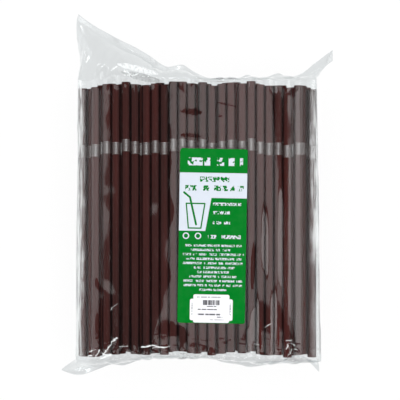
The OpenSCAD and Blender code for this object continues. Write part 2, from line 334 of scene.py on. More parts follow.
# %% [markdown]
# The film is a tube round the bundle of straws. Its section is their hull: the film touches the
# outermost straws and runs straight from one to the next. The hull is found from the straws
# themselves, by asking for the farthest point in each direction. The directions make one and a
# half turns, so that both sides can be followed without a break. A place on the hull is measured
# by the way along it, with a little added for each degree, so that the corners get more columns.

# %% Section of the film tube
FILM_OFFSET = 0.45
CORNER_WEIGHT = 0.35
HULL_STEP = 1.5


def node_points(name):
    """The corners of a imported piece's mesh, in millimetres."""
    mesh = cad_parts[name].data
    points = np.empty(len(mesh.vertices) * 3)
    mesh.vertices.foreach_get("co", points)
    return points.reshape(-1, 3) / MM


straw_ends = np.vstack([node_points(name) for name in straw_names])
across_straws = np.unique(np.round(straw_ends[:, [0, 2]], 2), axis=0)
hull_angles = np.radians(np.arange(-180, 360 + HULL_STEP, HULL_STEP))
directions = np.column_stack([np.cos(hull_angles), np.sin(hull_angles)])
farthest = np.array([across_straws[np.argmax(across_straws @ way)] for way in directions])
hull = farthest + FILM_OFFSET * directions
hull_path = np.concatenate([[0], np.cumsum(np.linalg.norm(np.diff(hull, axis=0), axis=1))])
hull_measure = hull_path + CORNER_WEIGHT * (np.degrees(hull_angles) + 180)
middle_z = (across_straws[:, 1].max() + across_straws[:, 1].min()) / 2


def measure_at_middle(low, high):
    """How far along the hull it passes the pack's middle height, between two angles."""
    part = (hull_angles >= math.radians(low)) & (hull_angles <= math.radians(high))
    heights, measures = hull[part, 1], hull_measure[part]
    order = np.argsort(heights)
    return np.interp(middle_z, heights[order], measures[order])


right_fold = measure_at_middle(-60, 60)
left_fold = measure_at_middle(120, 240)
turn_start, turn_end = np.interp([0, 2 * math.pi], hull_angles, hull_measure)
whole_turn = turn_end - turn_start
print("film section:", hull.min(0).round(2), hull.max(0).round(2))

# %% [markdown]
# The tube gets as many columns of points on its front as on its back, from the fold at the right
# over the front to the fold at the left, and back underneath. A front column and the back column
# behind it end at the same point of the flat seal, so both get the same share of the way across.

# %% Columns of the film
PLY_COLUMNS = 200
COLUMNS = 2 * PLY_COLUMNS
front = np.linspace(right_fold, left_fold, PLY_COLUMNS + 1)
back = np.linspace(left_fold, right_fold + whole_turn, PLY_COLUMNS + 1)
column_measure = np.concatenate([front, back[1:-1]])
section = np.column_stack([
    np.interp(column_measure, hull_measure, hull[:, axis]) for axis in range(2)
])
side = np.array([0] + [1] * (PLY_COLUMNS - 1) + [0] + [-1] * (PLY_COLUMNS - 1))


def shares(points):
    """How far along a line of points each one lies, from 0 to 1."""
    steps = np.concatenate([[0], np.cumsum(np.linalg.norm(np.diff(points, axis=0), axis=1))])
    return steps / steps[-1]


front_shares = shares(section[:PLY_COLUMNS + 1])
back_shares = shares(section[[0] + list(range(COLUMNS - 1, PLY_COLUMNS - 1, -1))])
paired = (front_shares + back_shares) / 2
across = np.concatenate([paired, paired[-2:0:-1]])
print("columns:", COLUMNS, "widest step:", np.diff(across[:PLY_COLUMNS]).max().round(4))

# %% [markdown]
# Beyond the straws' ends the film's front and back are pressed together and welded to a seal. The
# line where they meet is a smooth curve through a few points. Each point says how far across the
# pack it lies, as a share of half its width, and then how many millimetres beyond the straw ends
# and above the middle height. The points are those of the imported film, apart from the right of
# the feet, where the finer mesh can show the step in the seal more sharply.

# %% Seams
STRAW_RADIUS = 4.0
STRAW_LENGTH = 240
STAGGER = 2.5
END_ROOM = 1
RIGHT_SLIP, LEFT_SLIP = 5, 4
mouth_seal = [
    (1.16, 20.5, 4), (1.06, 13.5, 3), (0.97, 8.5, 2), (0.89, 5.4, 0), (0.78, 4, -3), (0.7, 6.5, -1),
    (0.6, 3.7, 1), (0.5, 3, 2), (0.43, 5, 3), (0.36, 3, 2), (0.24, 2.8, 1), (0.14, 2.8, 0),
    (0.06, 3.8, 0), (-0.04, 8, 1), (-0.12, 12.5, 2), (-0.19, 12, 3), (-0.25, 10.8, 4),
    (-0.32, 13.5, 4), (-0.4, 19.5, 3), (-0.53, 28, 2), (-0.65, 34.5, 0), (-0.85, 46.5, 1),
    (-1.02, 58.5, 4),
]
foot_seal = [
    (1.06, 12, -12), (0.99, 5.5, -12), (0.92, 1.5, -11), (0.85, 1.5, -11), (0.79, 3.5, -10),
    (0.74, 7, -9), (0.65, 8, -7), (0.46, 11, -7), (0.37, 9.5, -6), (0.22, 7.5, -4), (0.13, 5.3, -3),
    (-0.13, 3.8, -2), (-0.28, 4.5, -4), (-0.42, 4.4, -6), (-0.52, 6.4, -8), (-0.64, 9.5, -9),
    (-0.75, 8.6, -11), (-0.86, 11.5, -14), (-0.97, 14.5, -16), (-1.08, 17, -17), (-1.19, 15.5, -18),
]
half_width = section[:, 0].max()
half_span = half_width - STRAW_RADIUS - FILM_OFFSET
mouth_end = STRAW_LENGTH / 2 + STAGGER + END_ROOM


def foot_end(x):
    """Where the film leaves the straws' feet, which have slipped further down at the edges."""
    share = np.minimum(np.abs(x), half_span) / half_span
    return -mouth_end - np.where(x > 0, RIGHT_SLIP, LEFT_SLIP) * share ** 3


def smooth_curve(points, steps=12):
    """Many points of the smooth curve (a Catmull-Rom curve) that passes through a few."""
    points = np.array(points, float)
    last = len(points) - 1
    curve = []
    for i in range(last):
        a, b, c, d = points[max(i - 1, 0)], points[i], points[i + 1], points[min(i + 2, last)]
        for t in np.arange(steps) / steps:
            bend = (2 * a - 5 * b + 4 * c - d) * t ** 2 + (3 * b - a - 3 * c + d) * t ** 3
            curve.append((2 * b + (c - a) * t + bend) / 2)
    return np.array(curve + [points[last]])


def seam_along(places):
    """One point of the seam for each column of the film."""
    curve = smooth_curve(places)
    part = shares(curve)
    return np.column_stack([np.interp(across, part, curve[:, axis]) for axis in range(3)])


mouth_places = [
    (share * half_width, mouth_end + beyond, middle_z + above) for share, beyond, above in mouth_seal
]
foot_places = [
    (share * half_width, float(foot_end(share * half_width)) - beyond, middle_z + above)
    for share, beyond, above in foot_seal
]
mouth_seam, foot_seam = seam_along(mouth_places), seam_along(foot_places)
print("seams reach:", mouth_seam.max(0).round(1), foot_seam.min(0).round(1))

# %% [markdown]
# Film that is gathered into a flat seal stands up in soft ridges between the two. They are two
# sine waves across the pack, one wide and one fine, whose bottoms are turned up. They fade out
# towards the folds at both sides. The film also stands off the straws a little at the pack's
# sides, more so at the feet, because the straws have slipped away from it there.

# %% Gathers and slack
GATHER_DEPTH = 2.2
WIDE_GATHERS, FINE_GATHERS = 9.5, 17
WIDE_SHARE, FINE_SHARE = 0.6, 0.4
BACK_SHIFT = math.radians(50)
FOLD_FADE = 0.12
RIGHT_SLACK, LEFT_SLACK = 3.5, 1.5
SLACK_POWER = 6


def gathers(share):
    """How high the gathers stand on each column, for a share of their full depth."""
    turn = 2 * math.pi * across
    shift = np.where(side < 0, BACK_SHIFT, 0)
    wide, fine = np.sin(WIDE_GATHERS * turn + shift), np.sin(FINE_GATHERS * turn + 2 * shift)
    wave = WIDE_SHARE * wide + FINE_SHARE * fine
    fade = np.minimum(1, np.minimum(across, 1 - across) / FOLD_FADE)
    return GATHER_DEPTH * share * fade * np.abs(wave)


def slack(place):
    """How far the film stands off the straws at the side, from the mouths (0) to the feet (1)."""
    x = section[:, 0]
    reach = np.where(x > 0, RIGHT_SLACK, -LEFT_SLACK)
    return reach * (np.abs(x) / half_width) ** SLACK_POWER * place


print("highest gather in mm:", gathers(1).max().round(2))

# %% [markdown]
# A seal is a flat strip with its front and back plies pressed together. It stands out level where
# the film is long, and hangs down where it is short. The strip widens into the ear at the right
# of the mouths and narrows to the tip of the ear at the left of the feet.

# %% Seals
SEAL_WIDTH = 5
PLY_LIFT = 0.25
SEAL_DROOP = math.radians(70)
FLAT_BEYOND = 20
EAR_FROM, EAR_WIDENING = 0.86, 5
TIP_FROM, TIP_SPAN, TIP_NARROWING = 1.0, 0.19, 4.2


def seal_axes(seam):
    """Outwards along the seal and up from it. A seal hangs where it is close to the straw ends."""
    out = np.sign(seam[:, 1])
    from_ends = np.where(out > 0, seam[:, 1] - mouth_end, foot_end(seam[:, 0]) - seam[:, 1])
    droop = SEAL_DROOP * np.clip(1 - from_ends / FLAT_BEYOND, 0, 1)
    zero = np.zeros(COLUMNS)
    outward = np.column_stack([zero, out * np.cos(droop), -np.sin(droop)])
    return outward, np.column_stack([zero, out * np.sin(droop), np.cos(droop)])


def seal_ring(share, seam):
    """One ring of a seal, from the seam at share = 0 to the film's cut edge at share = 1."""
    outward, upward = seal_axes(seam)
    right, left = seam[:, 0] / half_width, -seam[:, 0] / half_width
    ear = np.clip((right - EAR_FROM) / (1 - EAR_FROM), 0, 1) * (seam[:, 1] > 0)
    tip = np.clip((left - TIP_FROM) / TIP_SPAN, 0, 1) * (seam[:, 1] < 0)
    width = (SEAL_WIDTH + EAR_WIDENING * ear - TIP_NARROWING * tip) * share
    return seam + width[:, None] * outward + (side * PLY_LIFT)[:, None] * upward


mouth_edge, foot_edge = seal_ring(1, mouth_seam), seal_ring(1, foot_seam)
print("cut edges reach:", mouth_edge[:, 1].max().round(1), foot_edge[:, 1].min().round(1))

# %% [markdown]
# Between a seam and the straws' ends the film is a fan: each column runs on a short curve from
# the flat seal out to the hull. The curve has one point that it bends towards, most of the way
# out to the seam and almost as high as the tube. At the left corner of the feet that point lies
# further in, because the ear is drawn out there. The gathers are highest in the middle of the fan.

# %% Fans at the closed ends
BEND_OUT, CORNER_LESS, CORNER_POWER = 0.75, 0.35, 6
BEND_HEIGHT = 0.9
GATHER_OUT, GATHER_UP = 0.6, 0.8


def fan_ring(t, seam, end_y, out):
    """One ring of a closed end, from the seam at t = 0 to the tube at t = 1."""
    tube_x = section[:, 0] + slack(1 if out < 0 else 0)
    tube = np.column_stack([tube_x, np.broadcast_to(end_y, COLUMNS), section[:, 1]])
    corner = np.clip(-section[:, 0] / half_width, 0, 1) ** CORNER_POWER * (out < 0)
    bend_out = BEND_OUT - CORNER_LESS * corner
    bend = np.column_stack([
        (tube[:, 0] + seam[:, 0]) / 2,
        (1 - bend_out) * tube[:, 1] + bend_out * seam[:, 1],
        BEND_HEIGHT * tube[:, 2] + (1 - BEND_HEIGHT) * seam[:, 2],
    ])
    ring = tube * t * t + 2 * bend * t * (1 - t) + seam * (1 - t) ** 2
    lift = gathers(min(1, 2 * t) * (math.sin(math.pi * t) + t) / 2)
    ring[:, 1] += GATHER_OUT * out * lift
    ring[:, 2] += GATHER_UP * side * lift
    return ring + (side * PLY_LIFT * (1 - t * t))[:, None] * seal_axes(seam)[1]


print("fan's middle at the mouths:", fan_ring(0.5, mouth_seam, mouth_end, 1).max(0).round(1))

# %% [markdown]
# On the tube the columns simply run along the straws, and the gathers run out in its first few
# millimetres. The tube's last tenth has its rings closer together, for the small creases at the
# feet. All rings together, from the one cut edge to the other, make the film.

# %% Rings of the film
SEAL_RINGS = 5
MOUTH_RINGS, FOOT_RINGS = 36, 22
LONG_PART, LONG_RINGS, SHORT_RINGS = 0.9, 106, 26
GATHER_REACH, TUBE_GATHERS, GATHER_FADE = 24, 0.35, 6
long_places = np.linspace(0, LONG_PART, LONG_RINGS)
short_places = np.linspace(LONG_PART, 1, SHORT_RINGS + 1)[1:]


def tube_ring(share):
    """One ring of the tube, from the mouths at share = 0 to the feet at share = 1."""
    end = foot_end(section[:, 0])
    y = mouth_end + (end - mouth_end) * share
    near = np.minimum(1, np.minimum(mouth_end - y, y - end) / GATHER_REACH)
    lift = gathers(TUBE_GATHERS * (1 - near) ** GATHER_FADE)
    x = section[:, 0] + slack((mouth_end - y) / (2 * mouth_end))
    return np.column_stack([x, y, section[:, 1] + np.where(side > 0, lift, 0)])


rings = [seal_ring(1 - k / SEAL_RINGS, mouth_seam) for k in range(SEAL_RINGS)]
rings += [fan_ring(k / MOUTH_RINGS, mouth_seam, mouth_end, 1) for k in range(MOUTH_RINGS)]
rings += [tube_ring(share) for share in np.concatenate([long_places, short_places])]
feet = foot_end(section[:, 0])
rings += [fan_ring(k / FOOT_RINGS, foot_seam, feet, -1) for k in range(FOOT_RINGS - 1, -1, -1)]
rings += [seal_ring((k + 1) / SEAL_RINGS, foot_seam) for k in range(SEAL_RINGS)]
film = np.array(rings)
print("film rings and columns:", film.shape[:2])

# %% [markdown]
# The large ear at the left of the mouths isn't straight along its outer edge: it bulges a little,
# and more so towards its tip.

# %% Bulge of the large ear
EAR_HEIGHT, EAR_BULGE = 63.5, 2.8
BULGE_HEIGHT_POWER, BULGE_SIDE_POWER = 2.2, 6
up_the_ear = np.clip((film[..., 1] - mouth_end) / EAR_HEIGHT, 0, 1)
to_the_left = np.clip(-film[..., 0] / half_width, 0, 1)
bulge = np.sin(math.pi * up_the_ear ** BULGE_HEIGHT_POWER) * to_the_left ** BULGE_SIDE_POWER
film[..., 0] -= EAR_BULGE * bulge
print("ear bulges by mm:", (EAR_BULGE * bulge).max().round(2))

# %% [markdown]
# Film that is pulled over straws is never quite flat: a slope of a third of a degree already
# shifts a reflection by several millimetres. The unevenness is made of small moves along the
# film's own normal. Smooth noise gives the soft swells, and the places where such noise changes
# sign make sharp ridges, as creases are.

# %% Swells and creases
RIDGE_SHARPNESS = 4
NO_LENGTH = 1e-9


def film_normals(points):
    """The direction that the film faces at each of its points."""
    along = np.gradient(points, axis=0)
    around = (np.roll(points, -1, axis=1) - np.roll(points, 1, axis=1)) / 2
    normal = np.cross(around, along)
    return normal / np.maximum(np.linalg.norm(normal, axis=2, keepdims=True), NO_LENGTH)


def field(points, sizes, seed):
    """Smooth noise from -1 to 1, whose patches have the given sizes in millimetres."""
    flat = points.reshape(-1, 3) / np.array(sizes) + seed
    return np.array([noise.noise(Vector(p)) for p in flat]).reshape(points.shape[:2])


def creases(points, sizes, seed):
    """Sharp ridges from 0 to 1, where the smooth noise changes sign."""
    return (1 - np.minimum(1, RIDGE_SHARPNESS * np.abs(field(points, sizes, seed)))) ** 2


def near_zero(value, width):
    """1 at zero, falling smoothly to nearly nothing at twice the width."""
    return np.exp(-(value / width) ** 2)


normals = film_normals(film)
x, y = film[..., 0], film[..., 1]
print("points that face up:", int((normals[..., 2] > 0).sum()))

# %% [markdown]
# Masks say where each kind of unevenness belongs: on the tube or beyond the straws' ends, at the
# pack's sides, near the feet. The film is flat under the label, which holds it, and its cut edges
# stay where the seals put them.

# %% Parts of the film
LABEL_EDGE = 6.0
SIDE_SHARPNESS = 1.2
SEAM_FADE_RINGS = 20
FACES_UP = 0.5
label_low, label_high = [np.array(corner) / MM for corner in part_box("printed_label")]
on_side = 1 - np.clip(np.abs(normals[..., 2]) * SIDE_SHARPNESS, 0, 1)
beyond = np.maximum(np.maximum(y - mouth_end, foot_end(x) - y), 0)
from_end = np.minimum(mouth_end - y, y - foot_end(x))
from_feet = np.maximum(y - foot_end(x), 0)
on_tube = (beyond <= 0).astype(float)
from_edge = np.minimum(np.arange(len(rings)), np.arange(len(rings))[::-1])
seam_room = np.clip(from_edge / SEAM_FADE_RINGS, 0, 1)[:, None]
outside_label = np.maximum.reduce([
    label_low[0] - x, x - label_high[0], label_low[1] - y, y - label_high[1],
])
free_front = np.clip(outside_label / LABEL_EDGE, 0, 1) ** 2
free = np.where(normals[..., 2] > FACES_UP, free_front, 1)
print("points held by the label:", int((free == 0).sum()))

# %% [markdown]
# The swells are a few hundredths of a millimetre high, in three sizes. They are calmer beside the
# narrow gap between two lamps at the right, which would otherwise break up. The sides carry long
# creases along the straws. Sharper ones stand round both ends, and the finest lie just above the
# feet, mainly at the two corners and left of the label.

# %% Undulations of the film
SWELLS = [(0.035, (24, 38, 40), 3.1), (0.02, (11, 17, 30), 7.7), (0.008, (5, 7, 20), 2.6)]
CALM_MIDDLE, CALM_WIDTH, CALM_SHARE = 80, 14, 0.85
SIDE_CREASES, SIDE_SWELLS = 0.5, 0.25
END_ZONE, END_CREASES, END_SWELLS = 9, 0.35, 0.6
FOOT_ZONE, FOOT_CREASES = 12, 0.22
CRUMPLED_EVERYWHERE = 0.35
CRUMPLED_PLACES = [(-82, 22, 1), (86, 18, 1), (-38, 16, 0.7)]
calm = 1 - CALM_SHARE * near_zero(x - CALM_MIDDLE, CALM_WIDTH)
move = calm * sum(height * field(film, sizes, seed) for height, sizes, seed in SWELLS)
long_creases = SIDE_CREASES * creases(film, (40, 55, 7), 1.3)
long_swells = SIDE_SWELLS * field(film, (30, 40, 9), 5.9)
move += on_side * on_tube * (long_creases + long_swells)
end_zone = near_zero(np.maximum(from_end, 0), END_ZONE) * on_tube + (beyond > 0)
move += END_CREASES * end_zone * creases(film, (9, 12, 14), 9.2) * seam_room
move += END_SWELLS * (beyond > 0) * seam_room * field(film, (10, 22, 18), 4.4)
crumpled = CRUMPLED_EVERYWHERE + sum(
    share * near_zero(x - middle, width) for middle, width, share in CRUMPLED_PLACES
)
at_feet = on_tube * near_zero(from_feet, FOOT_ZONE)
move += FOOT_CREASES * crumpled * at_feet * creases(film, (9, 3.2, 9), 6.3)
print("undulations in mm:", round(float(np.abs(move * free).max()), 2))

# %% [markdown]
# Some of the picture's marks are large enough to be placed one by one. The lamps' gaps show as dark
# bands, and a band's edge is wavy where the film leans a little. So each edge is drawn as a line of a
# few points, and the film gets just the lean there that brings the lamp's edge to that line.
# Four edges run along the straws and are given as the place where flat film would show the edge,
# and then as places along and across the pack. The fifth is the middle box's lower edge, which
# runs across.

# %% Wavy edges
SHIFT_PER_DEGREE = 21
EDGE_REACH = 10
wavy_edges = [
    (-78, [
        (-114, -94), (-101, -93), (-92, -92), (-79, -87), (-73, -85.5), (-66, -77), (-55, -82),
        (-33, -83), (-10, -81.5), (5, -78.5), (18, -83), (25, -74), (30, -82), (43, -80), (56, -77),
        (82, -77), (90, -82), (114, -77),
    ]),
    (-29, [
        (-91, -33), (-73, -32.5), (-62, -30.5), (-55, -18), (-48, -23.5), (-39, -30), (-28, -34),
        (-15, -30.5), (0, -19), (10, -17), (20, -22.5), (61, -24.5), (87, -25), (114, -27),
    ]),
    (80.5, [
        (-110, 79), (-70, 79.5), (-20, 79), (30, 80), (60, 81), (80, 83), (92, 79), (112, 80),
    ]),
    (75, [(-110, 76), (-20, 75.5), (40, 74), (60, 71), (80, 69), (114, 67)]),
]
lower_edge = (-109, [
    (-110, -109), (-42, -109), (-32, -93), (-15, -91), (-8, -103), (0, -109), (38, -109),
    (44, -98), (48, -80), (56, -72), (64, -79), (72, -73), (86, -105), (110, -109),
])


def lean_to_edge(straight, points, along, over):
    """The lean that moves the reflection of a lamp's edge from a straight line to a wavy one."""
    places = np.array(points, float)
    edge = np.interp(along, places[:, 0], places[:, 1])
    lean = np.tan(np.radians((straight - edge) / SHIFT_PER_DEGREE))
    off = over - edge
    return -lean * off * near_zero(off, EDGE_REACH + np.abs(straight - edge))


in_front = (normals[..., 2] > FACES_UP) * on_tube
for straight, points in wavy_edges:
    move += in_front * lean_to_edge(straight, points, y, x)
move += in_front * lean_to_edge(*lower_edge, x, y)
print("wavy edges:", len(wavy_edges) + 1)

# %% [markdown]
# A dent leans so far over a short way that it mirrors no lamp there, and looks dark. Each is given
# by its middle, its length and width, the way it is turned and its lean, in millimetres and
# degrees. Then all moves are made at once, and the film's underside is kept just off the floor.

# %% Dents
DENT_RETURN = 3.5
FLOOR_ROOM = 0.05
dents = [
    (-26, -52, 6, 5, 0, 1.5), (-91, -57, 4, 2.5, -30, -2.5), (-23, 10, 5, 9, 15, 1.2),
    (-22, -110, 4, 14, 100, -1.0),
]


def dent(middle_x, middle_y, length, width, turn, lean):
    """A short steep lean along one direction, with a long gentle way back on either side."""
    turn = math.radians(turn)
    along = (x - middle_x) * math.cos(turn) + (y - middle_y) * math.sin(turn)
    over = (y - middle_y) * math.cos(turn) - (x - middle_x) * math.sin(turn)
    step = math.tan(math.radians(lean)) * length * np.tanh(along / length)
    return step * near_zero(along, DENT_RETURN * length) * near_zero(over, width)


for numbers in dents:
    move += in_front * dent(*numbers)
film = film + normals * (move * free)[..., None]
film[..., 2] = np.maximum(film[..., 2], FLOOR_ROOM)
print("largest move in mm:", round(float(np.abs(move * free).max()), 2))

# %% [markdown]
# Four neighbouring points make one face of the film. The two cut edges are closed with narrow
# faces between the front ply and the back ply, so that the film is one closed skin.

# %% Film mesh
row = np.arange(len(rings) - 1)[:, None] * COLUMNS
column = np.arange(COLUMNS)[None, :]
turned = (column + 1) % COLUMNS
face_corners = [row + column, row + turned, row + COLUMNS + turned, row + COLUMNS + column]
faces = np.stack(face_corners, axis=-1).reshape(-1, 4).tolist()
for first_point, flip in ((0, False), ((len(rings) - 1) * COLUMNS, True)):
    for k in range(PLY_COLUMNS):
        low, high = first_point + k, first_point + (COLUMNS - k) % COLUMNS
        cap = list(dict.fromkeys([low, high, first_point + COLUMNS - k - 1, low + 1]))
        faces.append(cap[::-1] if flip else cap)
film_bag = make_mesh("clear_film_bag", film.reshape(-1, 3) * MM, faces)
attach(film_bag, "root")
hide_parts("film_bag")
print("film faces:", len(film_bag.data.polygons))

# %% [markdown]
# Marks on a surface are formulas too. A mask is 1 inside a mark and 0 outside, and comes from comparing
# distances. These helpers join masks, draw a line between two points and fill a leaf-shaped patch. They
# serve the film's painted glints, painted highlight and painted dark spots as well as the label's print.

# %% Lines and patches


def any_of(masks):
    """1 where at least one of the masks is 1."""
    total = masks[0]
    for mask in masks[1:]:
        total = total + mask
    return total.clamped()


def stroke(right, down, from_point, to_point, thickness):
    """A straight line with round ends, as the points near enough to it."""
    dx, dy = to_point[0] - from_point[0], to_point[1] - from_point[1]
    across_line, down_line = right - from_point[0], down - from_point[1]
    along_line = ((across_line * dx + down_line * dy) / (dx * dx + dy * dy)).clamped()
    off_x, off_y = across_line - along_line * dx, down_line - along_line * dy
    return off_x * off_x + off_y * off_y < (thickness / 2) ** 2


def patch(axes, uneven, middle_x, middle_y, half_length, half_height, slope):
    """1 inside a leaf-shaped patch on the film's front, whose rim is uneven."""
    off_x = (axes[0] - middle_x) / half_length
    off_y = (axes[1] - middle_y + (axes[0] - middle_x) * slope) / half_height
    return off_x * off_x + off_y * off_y + uneven < 1


print("mark helpers ready")

# %% [markdown]
# The film's smallest marks are finer than its mesh, so they go into its finish, each given in the pack's
# own millimetres. Painted dark spots weaken the film's mirror, a painted shade for small dents that
# mirror no lamp, and one long one is a painted dark band for the narrow gap between two lamps at the
# right. Painted white glints give thin lines at the feet, and a painted highlight gives a white patch in
# the large ear.

# %% Small marks of the film
# Painted shade: these spots weaken the film's mirror; the long one at the right is the painted gap
# between two lamps.
PAINTED_DARK_SPOTS = [
    (-5, 94.5, 9.5, 3, 0.05), (-5.5, 73.5, 9, 2, 0.05), (26, 101, 9.5, 0.9, 0.2),
    (20.5, 90.5, 1.8, 0.9, 0), (78.6, 0, 2.3, 150, 0), (81, -110, 1.5, 2.6, 0),
    (84.5, -114, 2, 1.2, 0.5), (80.5, -118.5, 1.1, 2.2, 0), (87, -118, 2, 1, 0.3),
    (90.5, -112, 1.3, 1, 0),
]
# Painted highlight: a white patch in the large ear.
EAR_HIGHLIGHT = (-53, 133, 18, 3.2, 0.25)
# Painted glints: thin white lines at the feet.
GLINT_LINES = [
    ((-71, -106.5), (-75.5, -110), 1.1), ((-75.5, -110), (-80.5, -118), 0.8),
    ((-80.5, -118), (-84, -122), 0.9), ((-96.5, -119), (-90, -117), 0.7),
    ((-90, -124), (-87, -117), 0.8), ((-87, -125), (-76.5, -121.5), 0.9),
    ((-84, -120), (-78, -123), 0.6), ((-93, -122), (-97, -123), 0.8),
    ((-50, -114.5), (-39.5, -113.3), 1.3), ((-39.5, -113.3), (-30.5, -115.5), 0.9),
    ((-69, -114.2), (-61.5, -114.2), 0.4), ((-39.5, -115.5), (-25.5, -114.3), 0.5),
    ((-77.5, -81.5), (-71, -76), 0.3), ((79, -109.5), (84, -108.3), 0.6),
    ((79, -116.5), (81.5, -111.5), 0.6), ((81.5, -121.5), (83.5, -116.5), 0.6),
    ((84, -111.5), (87, -114), 0.6), ((85.5, -116.5), (89.5, -117.3), 0.5),
    ((60, -97), (66, -94), 0.4), ((50, -112), (58, -113.5), 0.4),
]
film_finish, start = new_finish("clear_film_finish")
place, axes = position_mm(start)
uneven = start.noise(place.scaled((0.25, 0.3, 0.1)), scale=1.0, rough=0.6) * 1.6 - 0.8
painted_dark_spots = any_of([patch(axes, uneven, *numbers) for numbers in PAINTED_DARK_SPOTS])
print("small marks:", len(PAINTED_DARK_SPOTS) + len(GLINT_LINES) + 1)

# %% [markdown]
# Clear film is a pane that shows what lies behind it and mirrors a little of what lies in front.
# A gloss factor mixes a plain see-through shader with a mirror, and rises with the slant at which the
# film is seen. It comes from Layer Weight, because the Fresnel node takes the back of a thin film for
# the inside of solid glass and mirrors everything there. Over the straws of the front layer the mirror
# is painted stronger than between two straws, a painted reflection that leaves the gaps between them
# darker. Beyond the straws' feet, though not in the ears, the film is given a darker tint.

# %% Gloss of the film
TINT, DARKER_TINT = (0.855, 0.868, 0.872, 1), (0.79, 0.8, 0.805, 1)
FOLDS_FROM, FOLDS_FULL = -123, -127
EARS_FROM, EARS_FULL = 92, 104
PLAIN_GLOSS, GAP_GLOSS, STRAW_GLOSS = 0.031, 0.016, 0.026
DARK_SPOT_LOSS = 0.9
SLANT_GLOSS, SLANT_POWER = 0.95, 5.0
STRAW_EDGE, STRAW_TOP = 3.6, 2.4
FRONT_FROM, FRONT_FULL = 70, 74
front_boxes = [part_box(name) for name in straw_names if name.startswith("straw_11")]
front_straws = [(low[0] + high[0]) / 2 / MM for low, high in front_boxes]
single = start.node("BsdfTransparent", {}, {"Color": TINT})
# A darker tint beyond the straws' feet, though not in the ears.
darker_pane = start.node("BsdfTransparent", {}, {"Color": DARKER_TINT})
in_folds = axes[1].ramped(FOLDS_FROM, FOLDS_FULL) * abs(axes[0]).ramped(EARS_FULL, EARS_FROM)
clear = in_folds.blended(single, darker_pane)
mirror = start.node("BsdfPrincipled", {}, {
    "Base Color": (0.95, 0.97, 0.97, 1), "Metallic": 1.0, "Roughness": 0.03,
})
slant = start.node("LayerWeight", {}, {"Blend": 0.5}, take="Facing")
along_straws = abs(axes[1]) < mouth_end
over_front = axes[2].ramped(FRONT_FROM, FRONT_FULL) * along_straws
# Painted reflection: the mirror is stronger over the front straws than over the gaps between them, which
# leaves the gaps darker.
over_straws = any_of([
    abs(axes[0] - middle).ramped(STRAW_EDGE, STRAW_TOP) for middle in front_straws
])
# Painted shade: the mirror is weakened inside the painted dark spots.
front_gloss = (over_straws * STRAW_GLOSS + GAP_GLOSS) * (1 - painted_dark_spots * DARK_SPOT_LOSS)
flat_gloss = over_front * (front_gloss - PLAIN_GLOSS) + PLAIN_GLOSS
gloss = slant ** SLANT_POWER * SLANT_GLOSS + flat_gloss
print("straws under the front film:", len(front_straws))

# %% [markdown]
# Both rims of the film are creased lengthwise and carry white streaks of haze, partly painted sheen for
# the pale reflections along the pack's shoulders. That white shows at a slant and nearly vanishes when
# it is seen straight on. It is weaker at the lower right, where the picture shows less of it.

# %% Whitened rims with painted sheen
RIM_FROM, RIM_WANDER, RIM_BLEND = 98, 8, 3
RIM_STREAKS, RIM_EVEN = 0.58, 0.08
RIM_LOW, RIM_HIGH = 40, 60
LOWER_FROM, LOWER_FULL, LOWER_RIGHT_LOSS = -10, -60, 0.7
SEEN_STRAIGHT, FULL_SLANT = 0.2, 0.2
wander = start.noise(place.scaled((0.01, 0.045, 0.05)), scale=1.0, rough=0.6)
streaks = start.noise(place.scaled((0.45, 0.03, 0.3)), scale=1.0, detail=3.0, rough=0.6)
at_rim = (abs(axes[0]) - wander * RIM_WANDER).ramped(RIM_FROM - RIM_BLEND, RIM_FROM + RIM_BLEND)
rim = at_rim * axes[2].ramped(RIM_LOW, RIM_HIGH) * along_straws
rim = rim * (streaks.ramped(0.3, 0.7) * RIM_STREAKS + RIM_EVEN)
rim = rim * (1 - axes[1].ramped(LOWER_FROM, LOWER_FULL) * (axes[0] > 0) * LOWER_RIGHT_LOSS)
# Painted sheen: the white grows with the slant at which the film is seen.
rim = rim * (slant.ramped(0.0, FULL_SLANT) * (1 - SEEN_STRAIGHT) + SEEN_STRAIGHT)
print("rims whiten from mm:", RIM_FROM)

# %% [markdown]
# The drawn lines are painted white glints and the patch is a painted highlight. They are whitened
# unevenly, and noise bends the lines a little so that none is quite straight. Fainter painted glint
# lines lie where smooth noise passes its middle value. All lines stay on the upper side of the film.
# With the rims and a trace of scuffs everywhere, the lines and the patch make one mix of haze, sheen and
# painted glints, which lies over the clear pane as a second mix.

# %% Haze and painted glints of the film
FEET_FROM, FEET_FULL, FEET_ROOM = -110, -120, 4
FAINT_WIDTH, FAINT_GLINT = 0.012, 0.25
BEND_X, BEND_Y = 5, 1.6
GLINT_LEAST, GLINT_MORE = 0.35, 0.4
HIGHLIGHT_LEAST, HIGHLIGHT_MORE = 0.25, 0.3
UPPER_FROM, UPPER_FULL = 50, 65
SCUFF_HAZE, EVEN_HAZE = 0.006, 0.001
scuffs = start.noise(place.scaled((0.2, 0.05, 0.2)), scale=3.0, detail=4.0, rough=0.6)
fine_wrinkles = start.noise(place.scaled((0.13, 0.55, 0.1)), scale=1.0, detail=1.0)
near_feet = axes[1].ramped(FEET_FROM, FEET_FULL) * (abs(axes[1]) < mouth_end + FEET_ROOM)
